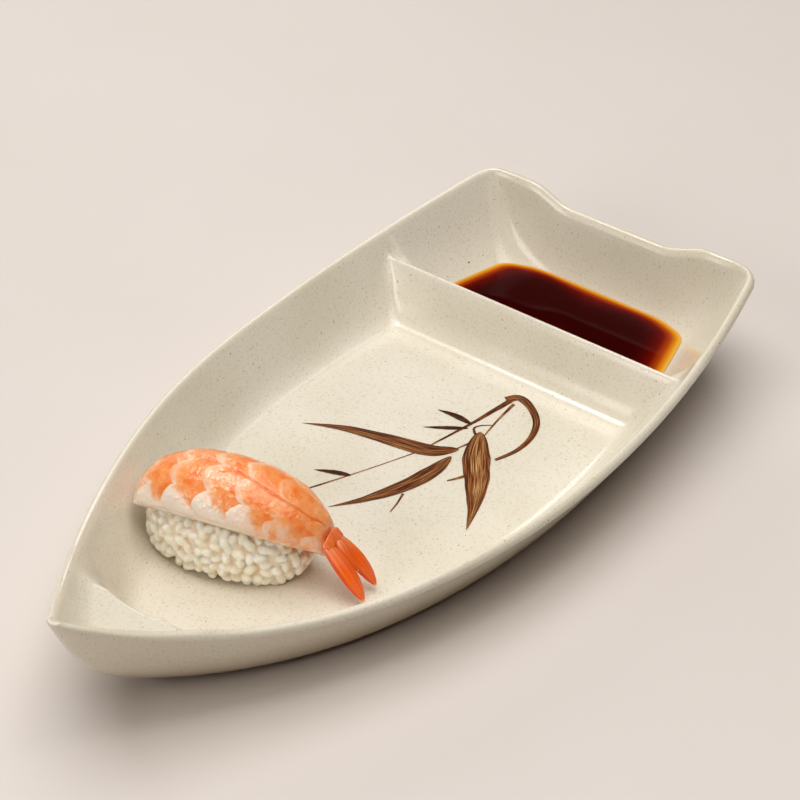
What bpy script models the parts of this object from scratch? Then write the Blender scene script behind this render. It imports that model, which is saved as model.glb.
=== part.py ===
"""Boat-shaped serving dish with a sauce well, soy sauce in the well and one shrimp nigiri on the floor.

Metres, +X to the bow, +Y to port, +Z up. The origin is on the table under the middle of the dish.
"""

import math

import bmesh
import bpy
from mathutils import Matrix, Vector

# Dish in plan, on the middle line of its rim
LENGTH = 0.258
BEAM = 0.1264
WIDEST_FROM_STERN = 0.0994
STERN_WIDTH = 0.1010
BOW_FULLNESS = 2.24
CORNER_ROUNDING = 0.0120
CORNER_GROWTH = 0.5
INNER_TIP_WIDTH = 0.0024

# Dish in elevation: the rim's height is taken where its round top begins
RIM_HEIGHT = 0.0226
BOW_RISE = 0.0175
BOW_RISE_LENGTH = 0.0885
BOW_RISE_POWER = 2.56
STERN_RISE = 0.0090
STERN_RISE_LENGTH = 0.1208
RIM_THICKNESS = 0.0037
FLOOR_THICKNESS = 0.0050
SIDE_FLARE = math.radians(32)
TRANSOM_RAKE = math.radians(15.5)
COVE_BLEND = 0.0065
WELL_COVE_BLEND = 0.0175
BASE_BLEND = 0.0050
BOW_BASE_BLEND = 0.0559
BOW_BASE_POWER = 5.4
BOW_BELLY = 0.27
BOW_BELLY_POWER = 8
STEM_ROUNDING = 0.002

# Lowered middle of the transom, between its two ears
NOTCH_WIDTH = 0.052
NOTCH_DROP = 0.0039
NOTCH_SHOULDER = 0.017

# Divider between the food floor and the sauce well
DIVIDER_FROM_STERN = 0.0489
DIVIDER_BELOW_RIM = 0.0013
DIVIDER_SLOPE = math.radians(26)
DIVIDER_TOP_RADIUS = 0.0010
DIVIDER_FOOT_BLEND = 0.0070
DIVIDER_END_BLEND = 0.0018

# Small deck in the bow, below the rim, with a hollowed aft edge
DECK_BELOW_TIP = 0.0132
DECK_EDGE_FROM_TIP = 0.0288
DECK_EDGE_RADIUS = 0.047
DECK_FACE_SLOPE = math.radians(24)
DECK_EDGE_BLEND = 0.0015
DECK_EDGE_CRISP_WIDTH = 0.022
DECK_EDGE_FADE = 1.2
DECK_COVE_BLEND = 0.0080

# Soy sauce: the film is its thickness at the edge of the pool, the inset its gap to the shore
SAUCE_DEPTH = 0.0035
SAUCE_FILM = 0.0006
SAUCE_INSET = 0.0012

# Nigiri: pressed rice, and the shrimp laid over it
NIGIRI_X = 0.0477
NIGIRI_Y = -0.0126
NIGIRI_HEADING = math.radians(104.3)
RICE_LENGTH = 0.0492
RICE_WIDTH = 0.0290
RICE_HEIGHT = 0.0240
RICE_WIDEST_HEIGHT = 0.0060
RICE_LOWER_DEPTH = 0.0100
RICE_ROUNDING = 2.2
SHRIMP_THICKNESS = 0.0068
SHRIMP_EDGE_THICKNESS = 0.0026
SHRIMP_END_THINNING = 0.3
SHRIMP_WRAP = math.radians(50)
SHRIMP_HEAD_LENGTH = 0.0275
SHRIMP_TAIL_LENGTH = 0.0310
SHRIMP_END_TUCK = 0.0022
TAIL_SHELL_LENGTH = 0.0025
TAIL_SHELL_WIDTH = 0.0126
TAIL_SHELL_HEIGHT = 0.0070
TAIL_WAIST_WIDTH = 0.0120
TAIL_WAIST_HEIGHT = 0.0050
TAIL_SHELL_DROP = 0.0020
TAIL_LOBE_REACH = 0.0115
TAIL_TIP_LIFT = 0.0006
TAIL_LOBE_WIDTH = 0.0066
TAIL_LOBE_THICKNESS = 0.0018
TAIL_LOBE_ROOT = 0.6
TAIL_LOBE_SPLAY = math.radians(3)
TAIL_TURN = math.radians(16)

CLEARANCE = 0.0003

# Mesh fineness
STRAKES = 36
STRAKE_CROWDING = 0.2
TRANSOM_STATIONS = 8
WELL_STATIONS = 4
DIVIDER_STATIONS = 6
FLOOR_STATIONS = 15
DECK_FACE_STATIONS = 7
DECK_STATIONS = 8
RIM_STEPS = 5
SAUCE_SEGMENTS = 64
SAUCE_RINGS = (1, 0.85, 0.65, 0.4)
SHORE_HALVINGS = 20
RICE_SEGMENTS = 32
RICE_RINGS = 16
SHRIMP_STATIONS = 24
SHRIMP_STEPS = 14
TAIL_SEGMENTS = 16
LOBE_RINGS = 12
SMOOTH_ANGLE = math.radians(40)
SLOPE_STEP = 0.0001
MERGE_DISTANCE = 0.000001

RIM_RADIUS = RIM_THICKNESS / 2
STERN_X = -LENGTH / 2
BOW_X = LENGTH / 2
WIDEST_X = STERN_X + WIDEST_FROM_STERN
FORE_LENGTH = BOW_X - WIDEST_X
FLARE_RUN = math.tan(SIDE_FLARE)
RAKE_RUN = math.tan(TRANSOM_RAKE)
STERN_HEIGHT = RIM_HEIGHT + STERN_RISE
DIVIDER_X = STERN_X + DIVIDER_FROM_STERN
DIVIDER_HEIGHT = RIM_HEIGHT - DIVIDER_BELOW_RIM
DIVIDER_RISE = DIVIDER_HEIGHT - FLOOR_THICKNESS
DIVIDER_FOOT = DIVIDER_RISE * math.tan(DIVIDER_SLOPE)
DECK_HEIGHT = RIM_HEIGHT + BOW_RISE - DECK_BELOW_TIP
DECK_EDGE_X = BOW_X - DECK_EDGE_FROM_TIP
DECK_FOOT = (DECK_HEIGHT - FLOOR_THICKNESS) * math.tan(DECK_FACE_SLOPE)
SAUCE_LEVEL = FLOOR_THICKNESS + SAUCE_DEPTH
FOOD_BASE = FLOOR_THICKNESS + CLEARANCE
RICE_CENTRE_Z = FOOD_BASE + RICE_WIDEST_HEIGHT


def smooth_max(a, b, blend):
    """The larger of two heights, with a fillet where they are within blend of each other."""
    near = max(blend - abs(a - b), 0) / blend
    return max(a, b) + near * near * blend / 4


def smooth_min(a, b, blend):
    return -smooth_max(-a, -b, blend)


def ease(share):
    share = min(max(share, 0), 1)
    return share * share * (3 - 2 * share)


def half_beam(x):
    """Half-width of the rim's middle line."""
    if x > WIDEST_X:
        to_bow = (x - WIDEST_X) / FORE_LENGTH
        return BEAM / 2 * (1 - to_bow**BOW_FULLNESS)
    to_stern = (WIDEST_X - x) / WIDEST_FROM_STERN
    return BEAM / 2 - (BEAM - STERN_WIDTH) / 2 * to_stern**2


def plan_slope(x):
    return abs(half_beam(x + SLOPE_STEP) - half_beam(x - SLOPE_STEP)) / (2 * SLOPE_STEP)


def rim_spread(x):
    """How far the rim's edges lie from its middle line, measured across the boat."""
    return RIM_RADIUS * math.hypot(1, plan_slope(x))


def sheer(x):
    """Height of the rim along the side."""
    to_bow = max(1 - (BOW_X - x) / BOW_RISE_LENGTH, 0)
    to_stern = max(1 - (x - STERN_X) / STERN_RISE_LENGTH, 0)
    return RIM_HEIGHT + BOW_RISE * to_bow**BOW_RISE_POWER + STERN_RISE * to_stern**2


def corner_rounding(side):
    """How far from a stern corner its rounding starts, wider outside the rim than inside."""
    return CORNER_ROUNDING + side * RIM_THICKNESS


def wall_height(x, y, side):
    """Height of the flared wall over a point; side is -1 for its inner face and 1 for its outer face."""
    narrowest = INNER_TIP_WIDTH / 2 if side < 0 else 0
    half_width = max(half_beam(x) + side * rim_spread(x), narrowest)
    rounded_y = math.hypot(y, STEM_ROUNDING) - math.hypot(half_width, STEM_ROUNDING) + half_width
    from_side = half_width - rounded_y
    from_transom = (x - STERN_X + side * RIM_RADIUS) * FLARE_RUN / RAKE_RUN
    corner = corner_rounding(side) + CORNER_GROWTH * max(min(from_side, from_transom), 0)
    return sheer(x) - smooth_min(from_side, from_transom, corner) / FLARE_RUN


def divider_height(x):
    offset = math.hypot(x - DIVIDER_X, DIVIDER_TOP_RADIUS) - DIVIDER_TOP_RADIUS
    return DIVIDER_HEIGHT - offset / math.tan(DIVIDER_SLOPE)


def deck_height(x, y):
    """Height of the bow deck and of its aft face; the edge between them fades out toward the walls."""
    edge_x = DECK_EDGE_X - y * y / (2 * DECK_EDGE_RADIUS)
    face = DECK_HEIGHT - (edge_x - x) / math.tan(DECK_FACE_SLOPE)
    past_crisp = max(abs(y) - DECK_EDGE_CRISP_WIDTH / 2, 0)
    return smooth_min(DECK_HEIGHT, face, DECK_EDGE_BLEND + DECK_EDGE_FADE * past_crisp)


def inner_height(x, y):
    """Height of the dish's inside: floor, walls, divider and deck run into each other in coves."""
    ground = smooth_max(FLOOR_THICKNESS, divider_height(x), DIVIDER_FOOT_BLEND)
    ground = smooth_max(ground, deck_height(x, y), DECK_EDGE_BLEND)
    low = ease(2 * (DIVIDER_HEIGHT - ground) / DIVIDER_RISE)
    high_cove = DIVIDER_END_BLEND if x < WIDEST_X else DECK_COVE_BLEND
    low_cove = WELL_COVE_BLEND if x < DIVIDER_X else COVE_BLEND
    return smooth_max(ground, wall_height(x, y, -1), high_cove + (low_cove - high_cove) * low)


def outer_height(x, y):
    """Height of the dish's underside: flat on the table, then up the flared wall, full-bellied at the bow."""
    to_bow = min(max((x - WIDEST_X) / FORE_LENGTH, 0), 1)
    wall = wall_height(x, y, 1)
    below_rim = min(max(1 - wall / sheer(x), 0), 1)
    wall -= BOW_BELLY * sheer(x) * to_bow**BOW_BELLY_POWER * math.sin(math.pi * below_rim)
    return smooth_max(0, wall, BASE_BLEND + (BOW_BASE_BLEND - BASE_BLEND) * to_bow**BOW_BASE_POWER)


def notch_depth(y):
    inside = (NOTCH_WIDTH / 2 + NOTCH_SHOULDER / 2 - abs(y)) / NOTCH_SHOULDER
    return NOTCH_DROP * ease(inside)


def stations():
    """Places of the cross-sections along the dish, closest together where its surface bends most."""
    transom_foot = STERN_X + (STERN_HEIGHT - FLOOR_THICKNESS) * RAKE_RUN + COVE_BLEND / 2
    divider_aft = DIVIDER_X - DIVIDER_FOOT - DIVIDER_FOOT_BLEND / 2
    divider_fore = DIVIDER_X + DIVIDER_FOOT + DIVIDER_FOOT_BLEND / 2
    deck_foot = DECK_EDGE_X - DECK_FOOT - COVE_BLEND / 2
    runs = (
        (STERN_X, transom_foot, TRANSOM_STATIONS),
        (transom_foot, divider_aft, WELL_STATIONS),
        (divider_aft, DIVIDER_X, DIVIDER_STATIONS),
        (DIVIDER_X, divider_fore, DIVIDER_STATIONS),
        (divider_fore, deck_foot, FLOOR_STATIONS),
        (deck_foot, DECK_EDGE_X, DECK_FACE_STATIONS),
        (DECK_EDGE_X, BOW_X, DECK_STATIONS),
    )
    places = [STERN_X]
    for start, end, count in runs:
        places += [start + (end - start) * (step + 1) / count for step in range(count)]
    return places


def rim_point(x, across, side):
    """A point of the plan: x is a station, across runs from -1 to 1, side is -1 inside and 1 outside."""
    inner_tip = BOW_X - (rim_spread(BOW_X) + INNER_TIP_WIDTH / 2) / plan_slope(BOW_X)
    nose = RIM_RADIUS * math.sqrt(1 - across * across)
    bow_end = inner_tip if side < 0 else BOW_X + nose
    stern_half = half_beam(STERN_X) + side * RIM_RADIUS
    rounding = corner_rounding(side)
    from_side = min(stern_half * (1 - abs(across)), rounding)
    corner = (math.sqrt(rounding) - math.sqrt(from_side)) ** 2 * RAKE_RUN / FLARE_RUN
    stern_end = STERN_X - side * RIM_RADIUS + corner + notch_depth(across * stern_half) * RAKE_RUN
    near_bow = max((x - DECK_EDGE_X) / (BOW_X - DECK_EDGE_X), 0)
    near_stern = max((DIVIDER_X - DIVIDER_FOOT - x) / (DIVIDER_FROM_STERN - DIVIDER_FOOT), 0)
    placed_x = x + (bow_end - BOW_X) * near_bow + (stern_end - STERN_X) * near_stern
    half_width = half_beam(min(placed_x, BOW_X)) + side * rim_spread(min(placed_x, BOW_X))
    return placed_x, across * half_width


def rim_cap(share):
    """How far across the rim and how high in its cap a ring lies: it leaves the inner wall without a crease."""
    if share < 0.5:
        rise = 2 * share
        return rise * (1 - rise) * FLARE_RUN + rise * rise / 2, 1 - (1 - rise) ** 2
    turn = math.pi * (share - 0.5)
    return (1 + math.sin(turn)) / 2, math.cos(turn)


def add_surface(bm, places, side, height):
    """One sheet of the dish, and a table from each vertex to its station and its place across."""
    made = bmesh.ops.create_grid(bm, x_segments=len(places) - 1, y_segments=STRAKES, size=1)
    keys = {}
    for vert in made["verts"]:
        station = places[round((vert.co.x + 1) / 2 * (len(places) - 1))]
        across = vert.co.y * (1 + STRAKE_CROWDING - STRAKE_CROWDING * vert.co.y**2)
        x, y = rim_point(station, across, side)
        vert.co = (x, y, height(x, y))
        keys[vert] = (station, across)
    return keys


def extrude_ring(bm, edges, keys):
    """Doubles a ring of edges, and hands each new vertex the key of the one that it came from."""
    made = bmesh.ops.extrude_edge_only(bm, edges=edges)["geom"]
    fresh = {}
    for vert in made:
        if isinstance(vert, bmesh.types.BMVert):
            neighbours = (edge.other_vert(vert) for edge in vert.link_edges)
            fresh[vert] = next(keys[other] for other in neighbours if other in keys)
    keys.update(fresh)
    return fresh, [edge for edge in bm.edges if edge.verts[0] in fresh and edge.verts[1] in fresh]


def finish_mesh(bm, name, material, parent=None):
    bmesh.ops.recalc_face_normals(bm, faces=bm.faces)
    mesh = bpy.data.meshes.new(name)
    bm.to_mesh(mesh)
    bm.free()
    mesh.materials.append(material)
    mesh.shade_smooth()
    mesh.set_sharp_from_angle(angle=SMOOTH_ANGLE)
    part = bpy.data.objects.new(name, mesh)
    part.parent = parent
    boat.objects.link(part)
    return part


def finish_material(name, colour, roughness):
    material = bpy.data.materials.new(name)
    material.use_nodes = True
    shader = material.node_tree.nodes["Principled BSDF"]
    shader.inputs["Base Color"].default_value = (*colour, 1)
    shader.inputs["Roughness"].default_value = roughness
    shader.inputs["Metallic"].default_value = 0
    return material


def make_dish():
    """The casting: an inner and an outer sheet on the same stations, closed by a round rim."""
    bm = bmesh.new()
    places = stations()
    keys = add_surface(bm, places, -1, inner_height)
    edges = [edge for edge in bm.edges if edge.is_boundary]
    for step in range(1, RIM_STEPS + 1):
        share, rise = rim_cap(step / RIM_STEPS)
        fresh, edges = extrude_ring(bm, edges, keys)
        for vert, (station, across) in fresh.items():
            inner_x, inner_y = rim_point(station, across, -1)
            outer_x, outer_y = rim_point(station, across, 1)
            inside = Vector((inner_x, inner_y, inner_height(inner_x, inner_y)))
            outside = Vector((outer_x, outer_y, outer_height(outer_x, outer_y)))
            vert.co = inside.lerp(outside, share)
            vert.co.z += RIM_RADIUS * rise
    add_surface(bm, places, 1, outer_height)
    bmesh.ops.remove_doubles(bm, verts=bm.verts, dist=MERGE_DISTANCE)
    glaze = finish_material("cream_glaze", (0.78, 0.72, 0.58), 0.18)
    finish_mesh(bm, "dish", glaze)


def shore_reach(centre_x, heading):
    """Distance from the middle of the well to where the dish first comes up to the sauce."""

    def is_wet(reach):
        x = centre_x + reach * math.cos(heading)
        return inner_height(x, reach * math.sin(heading)) < SAUCE_LEVEL - SAUCE_FILM

    step = RIM_RADIUS
    near = 0
    while is_wet(near + step):
        near += step
    for _ in range(SHORE_HALVINGS):
        step /= 2
        if is_wet(near + step):
            near += step
    return near


def make_sauce():
    """The pool: a level top, and an underside that follows the well."""
    aft_edge = STERN_X + (STERN_HEIGHT - SAUCE_LEVEL) * RAKE_RUN
    fore_edge = DIVIDER_X - (DIVIDER_HEIGHT - SAUCE_LEVEL) * math.tan(DIVIDER_SLOPE)
    centre_x = (aft_edge + fore_edge) / 2
    centre = Vector((centre_x, 0, SAUCE_LEVEL))
    bm = bmesh.new()
    bmesh.ops.create_circle(bm, cap_ends=True, segments=SAUCE_SEGMENTS, radius=1)
    keys = {}
    for vert in bm.verts:
        heading = math.atan2(vert.co.y, vert.co.x)
        shore = Vector((math.cos(heading), math.sin(heading), 0)) * shore_reach(centre_x, heading)
        vert.co = centre + shore * (1 - SAUCE_INSET / shore.length)
        keys[vert] = shore
    edges = list(bm.edges)
    for share in SAUCE_RINGS:
        fresh, edges = extrude_ring(bm, edges, keys)
        for vert, shore in fresh.items():
            bed = centre + shore * share
            vert.co = centre + shore * share * (1 - SAUCE_INSET / shore.length)
            vert.co.z = inner_height(bed.x, bed.y) + CLEARANCE
    bmesh.ops.holes_fill(bm, edges=edges, sides=0)
    soy = finish_material("soy_sauce", (0.06, 0.012, 0.004), 0.08)
    finish_mesh(bm, "soy_sauce", soy)


def make_rice(nigiri):
    """The pressed rice: a rounded block, cut flat where it rests."""
    bm = bmesh.new()
    bmesh.ops.create_uvsphere(bm, u_segments=RICE_SEGMENTS, v_segments=RICE_RINGS, radius=1)
    for vert in bm.verts:
        fullness = sum(abs(value) ** RICE_ROUNDING for value in vert.co) ** (1 / RICE_ROUNDING)
        depth = RICE_HEIGHT - RICE_WIDEST_HEIGHT if vert.co.z > 0 else RICE_LOWER_DEPTH
        vert.co = (
            vert.co.x / fullness * RICE_LENGTH / 2,
            vert.co.y / fullness * RICE_WIDTH / 2,
            vert.co.z / fullness * depth + RICE_CENTRE_Z,
        )
    bmesh.ops.bisect_plane(
        bm,
        geom=bm.verts[:] + bm.edges[:] + bm.faces[:],
        dist=MERGE_DISTANCE,
        plane_co=(0, 0, FOOD_BASE),
        plane_no=(0, 0, -1),
        clear_outer=True,
    )
    bmesh.ops.holes_fill(bm, edges=[edge for edge in bm.edges if edge.is_boundary], sides=0)
    rice = finish_material("cooked_rice", (0.80, 0.75, 0.66), 0.35)
    finish_mesh(bm, "rice_block", rice, nigiri)


def shrimp_end(along):
    return SHRIMP_HEAD_LENGTH if along < 0 else SHRIMP_TAIL_LENGTH


def shrimp_point(along, wrap, outer):
    """A point of the flesh: wrap runs from -1 to 1 round the rice, outer is 0 on it and 1 on the back."""
    to_end = abs(along) / shrimp_end(along)
    reach = shrimp_end(along) + SHRIMP_END_TUCK
    fullness = (1 - abs(along / reach) ** RICE_ROUNDING) ** (1 / RICE_ROUNDING)
    half_width = (RICE_WIDTH / 2 + CLEARANCE) * fullness
    height = (RICE_HEIGHT - RICE_WIDEST_HEIGHT + CLEARANCE) * fullness
    sine = math.sin(wrap * SHRIMP_WRAP)
    cosine = math.cos(wrap * SHRIMP_WRAP)
    squareness = (abs(sine) ** RICE_ROUNDING + cosine**RICE_ROUNDING) ** (-1 / RICE_ROUNDING)
    middle = SHRIMP_THICKNESS * (1 - SHRIMP_END_THINNING * to_end**3)
    thickness = middle + (SHRIMP_EDGE_THICKNESS - middle) * wrap**2
    y = sine * (half_width * squareness + outer * thickness)
    z = cosine * (height * squareness + outer * thickness)
    return Vector((along, y, RICE_CENTRE_Z + z))


def make_shrimp(nigiri):
    """The flesh: a sheet bent over the rice, thick on the back and thin at its two long edges."""
    bm = bmesh.new()
    bmesh.ops.create_grid(bm, x_segments=SHRIMP_STATIONS, y_segments=SHRIMP_STEPS, size=1)
    doubled = bmesh.ops.extrude_face_region(bm, geom=bm.faces[:])["geom"]
    backs = {item for item in doubled if isinstance(item, bmesh.types.BMVert)}
    for vert in bm.verts:
        along = vert.co.x * shrimp_end(vert.co.x)
        vert.co = shrimp_point(along, vert.co.y, 1 if vert in backs else 0)
    flesh = finish_material("cooked_shrimp", (0.90, 0.45, 0.24), 0.22)
    finish_mesh(bm, "shrimp_flesh", flesh, nigiri)


def make_tail_shell(nigiri):
    """The last ring of shell: a short collar that turns down to the tail fan."""
    start = shrimp_point(SHRIMP_TAIL_LENGTH, 0, 1)
    bm = bmesh.new()
    lengthwise = Matrix.Rotation(math.pi / 2, 4, "Y")
    bmesh.ops.create_cone(
        bm, cap_ends=True, segments=TAIL_SEGMENTS, radius1=1, radius2=1, depth=1, matrix=lengthwise
    )
    for vert in bm.verts:
        share = vert.co.x + 0.5
        width = TAIL_SHELL_WIDTH + (TAIL_WAIST_WIDTH - TAIL_SHELL_WIDTH) * share
        height = TAIL_SHELL_HEIGHT + (TAIL_WAIST_HEIGHT - TAIL_SHELL_HEIGHT) * share
        vert.co = (
            start.x + CLEARANCE + share * TAIL_SHELL_LENGTH,
            vert.co.y * width / 2,
            start.z - TAIL_SHELL_HEIGHT / 2 - share * TAIL_SHELL_DROP + vert.co.z * height / 2,
        )
    shell = finish_material("tail_shell", (0.86, 0.24, 0.07), 0.25)
    finish_mesh(bm, "tail_shell", shell, nigiri)


def make_tail_lobe(nigiri, name, side):
    """One blade of the tail fan: a flat leaf that turns aside from the body and comes down to the floor."""
    waist = shrimp_point(SHRIMP_TAIL_LENGTH, 0, 1)
    waist.x += TAIL_SHELL_LENGTH + 2 * CLEARANCE
    waist.z -= TAIL_SHELL_HEIGHT / 2 + TAIL_SHELL_DROP
    drop = waist.z - (FOOD_BASE + TAIL_TIP_LIFT + TAIL_LOBE_THICKNESS / 2)
    length = math.hypot(TAIL_LOBE_REACH, drop)
    bm = bmesh.new()
    lengthwise = Matrix.Rotation(math.pi / 2, 4, "Y")
    bmesh.ops.create_uvsphere(
        bm, u_segments=TAIL_SEGMENTS, v_segments=LOBE_RINGS, radius=0.5, matrix=lengthwise
    )
    for vert in bm.verts:
        share = vert.co.x + 0.5
        taper = TAIL_LOBE_ROOT + (1 - TAIL_LOBE_ROOT) * share
        vert.co = (share * length, vert.co.y * TAIL_LOBE_WIDTH * taper, vert.co.z * TAIL_LOBE_THICKNESS)
    fan = finish_material(name, (0.84, 0.20, 0.05), 0.25)
    lobe = finish_mesh(bm, name, fan, nigiri)
    lobe.location = waist + Vector((0, side * TAIL_WAIST_WIDTH / 4, 0))
    lobe.rotation_euler = (0, math.atan2(drop, TAIL_LOBE_REACH), side * TAIL_LOBE_SPLAY - TAIL_TURN)


for leftover in list(bpy.data.objects):
    bpy.data.objects.remove(leftover)
boat = bpy.data.collections.new("sushi_boat")
bpy.context.scene.collection.children.link(boat)
nigiri_frame = bpy.data.objects.new("nigiri_frame", None)
nigiri_frame.location = (NIGIRI_X, NIGIRI_Y, 0)
nigiri_frame.rotation_euler = (0, 0, NIGIRI_HEADING)
boat.objects.link(nigiri_frame)
make_dish()
make_sauce()
make_rice(nigiri_frame)
make_shrimp(nigiri_frame)
make_tail_shell(nigiri_frame)
make_tail_lobe(nigiri_frame, "tail_lobe_near", -1)
make_tail_lobe(nigiri_frame, "tail_lobe_far", 1)
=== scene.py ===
import math
import random

import bmesh
import bpy
from mathutils import Matrix, Vector, kdtree, noise


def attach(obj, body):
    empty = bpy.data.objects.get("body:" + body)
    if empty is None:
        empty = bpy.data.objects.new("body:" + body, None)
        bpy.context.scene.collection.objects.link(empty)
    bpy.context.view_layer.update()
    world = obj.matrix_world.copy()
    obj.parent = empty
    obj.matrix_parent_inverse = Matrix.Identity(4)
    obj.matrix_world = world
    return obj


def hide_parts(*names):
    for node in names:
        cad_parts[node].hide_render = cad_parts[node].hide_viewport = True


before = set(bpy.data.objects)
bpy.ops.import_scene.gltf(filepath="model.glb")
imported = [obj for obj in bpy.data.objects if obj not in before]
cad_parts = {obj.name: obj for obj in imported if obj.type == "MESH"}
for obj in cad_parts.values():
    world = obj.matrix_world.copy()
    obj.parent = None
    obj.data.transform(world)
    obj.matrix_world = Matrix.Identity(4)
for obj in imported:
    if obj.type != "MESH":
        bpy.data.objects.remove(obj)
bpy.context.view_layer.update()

# The dish is slip-cast stoneware in one piece: a flat floor, flared walls that rise to a point at the bow,
# a small deck in the bow, a divider that shuts off the sauce well, and a transom dipped in its middle.
# It was dipped in a cream glaze that shows the iron specks of the clay, and its foot was wiped bare.
LENGTH = 0.258
BEAM = 0.1264
STERN_WIDTH = 0.1010
WIDEST_FROM_STERN = 0.0994
BOW_FULLNESS = 2.24
CORNER_ROUNDING = 0.0120
CORNER_GROWTH = 0.5
INNER_TIP_WIDTH = 0.0024
RIM_HEIGHT = 0.0226
RIM_RADIUS = 0.00185
BOW_RISE = 0.0175
BOW_RISE_LENGTH = 0.0885
BOW_RISE_POWER = 2.56
STERN_RISE = 0.0090
STERN_RISE_LENGTH = 0.1208
FLOOR_TOP = 0.0050
FLARE_RUN = math.tan(math.radians(32))
RAKE_RUN = math.tan(math.radians(15.5))
FLOOR_COVE = 0.0065
WELL_COVE = 0.0175
BASE_BLEND = 0.0050
BOW_BASE_BLEND = 0.0559
BOW_BASE_POWER = 5.4
BOW_BELLY = 0.27
BOW_BELLY_POWER = 8
STEM_ROUNDING = 0.002
NOTCH_WIDTH = 0.052
NOTCH_DROP = 0.0039
NOTCH_SHOULDER = 0.017
DIVIDER_FROM_STERN = 0.0489
DIVIDER_TOP = 0.0213
DIVIDER_RUN = math.tan(math.radians(26))
DIVIDER_RADIUS = 0.0010
DIVIDER_FOOT_BLEND = 0.0070
DIVIDER_END_BLEND = 0.0018
DECK_TOP = 0.0269
DECK_EDGE_FROM_TIP = 0.0288
DECK_EDGE_RADIUS = 0.047
DECK_RUN = math.tan(math.radians(24))
DECK_BLEND = 0.0015
DECK_CRISP_HALF = 0.011
DECK_FADE = 1.2
DECK_COVE = 0.0080
FOOT_WIDTH = 0.0055
FOOT_RECESS = 0.0007
FOOT_SLOPE = 0.002
FOOT_EDGE_HEIGHT = 0.0004
SLOPE_STEP = 0.0001
STRAKES = 104
STRAKE_CROWDING = 0.2
RIM_STEPS = 14
TIP_LENGTH = 0.006
TIP_BASE = 0.034
TIP_FILL = 0.00045
TIP_FILL_HALF_WIDTH = 0.0013
TIP_FILL_BASE = 0.036
TIP_FILL_RISE = 0.006
TIP_SMOOTHINGS = 16
MERGE_DISTANCE = 0.000001

STERN_X = -LENGTH / 2
BOW_X = LENGTH / 2
WIDEST_X = STERN_X + WIDEST_FROM_STERN
DIVIDER_X = STERN_X + DIVIDER_FROM_STERN
DIVIDER_FOOT = (DIVIDER_TOP - FLOOR_TOP) * DIVIDER_RUN
DECK_EDGE_X = BOW_X - DECK_EDGE_FROM_TIP
DECK_FOOT = (DECK_TOP - FLOOR_TOP) * DECK_RUN


def smooth_max(a, b, blend):
    near = max(blend - abs(a - b), 0) / blend
    return max(a, b) + near * near * blend / 4


def smooth_min(a, b, blend):
    return -smooth_max(-a, -b, blend)


def ease(share):
    share = min(max(share, 0), 1)
    return share * share * (3 - 2 * share)


def half_beam(x):
    if x > WIDEST_X:
        to_bow = (x - WIDEST_X) / (BOW_X - WIDEST_X)
        return BEAM / 2 * (1 - to_bow**BOW_FULLNESS)
    to_stern = (WIDEST_X - x) / WIDEST_FROM_STERN
    return BEAM / 2 - (BEAM - STERN_WIDTH) / 2 * to_stern**2


def plan_slope(x):
    return abs(half_beam(x + SLOPE_STEP) - half_beam(x - SLOPE_STEP)) / (2 * SLOPE_STEP)


def rim_spread(x):
    return RIM_RADIUS * math.hypot(1, plan_slope(x))


def sheer(x):
    to_bow = max(1 - (BOW_X - x) / BOW_RISE_LENGTH, 0)
    to_stern = max(1 - (x - STERN_X) / STERN_RISE_LENGTH, 0)
    return RIM_HEIGHT + BOW_RISE * to_bow**BOW_RISE_POWER + STERN_RISE * to_stern**2


def wall_height(x, y, side):
    """Height of the flared wall over a point; side is -1 for its inner face and 1 for its outer face."""
    narrowest = INNER_TIP_WIDTH / 2 if side < 0 else 0
    half_width = max(half_beam(x) + side * rim_spread(x), narrowest)
    rounded_y = math.hypot(y, STEM_ROUNDING) - math.hypot(half_width, STEM_ROUNDING) + half_width
    from_side = half_width - rounded_y
    from_transom = (x - STERN_X + side * RIM_RADIUS) * FLARE_RUN / RAKE_RUN
    rounding = CORNER_ROUNDING + side * 2 * RIM_RADIUS
    corner = rounding + CORNER_GROWTH * max(min(from_side, from_transom), 0)
    return sheer(x) - smooth_min(from_side, from_transom, corner) / FLARE_RUN


def inner_height(x, y):
    """Height of the glazed inside: floor, walls, divider and deck run into each other in coves."""
    off_ridge = math.hypot(x - DIVIDER_X, DIVIDER_RADIUS) - DIVIDER_RADIUS
    ground = smooth_max(FLOOR_TOP, DIVIDER_TOP - off_ridge / DIVIDER_RUN, DIVIDER_FOOT_BLEND)
    edge_x = DECK_EDGE_X - y * y / (2 * DECK_EDGE_RADIUS)
    fade = DECK_BLEND + DECK_FADE * max(abs(y) - DECK_CRISP_HALF, 0)
    deck = smooth_min(DECK_TOP, DECK_TOP - (edge_x - x) / DECK_RUN, fade)
    ground = smooth_max(ground, deck, DECK_BLEND)
    low = ease(2 * (DIVIDER_TOP - ground) / (DIVIDER_TOP - FLOOR_TOP))
    high_cove = DIVIDER_END_BLEND if x < WIDEST_X else DECK_COVE
    low_cove = WELL_COVE if x < DIVIDER_X else FLOOR_COVE
    return smooth_max(ground, wall_height(x, y, -1), high_cove + (low_cove - high_cove) * low)


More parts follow.
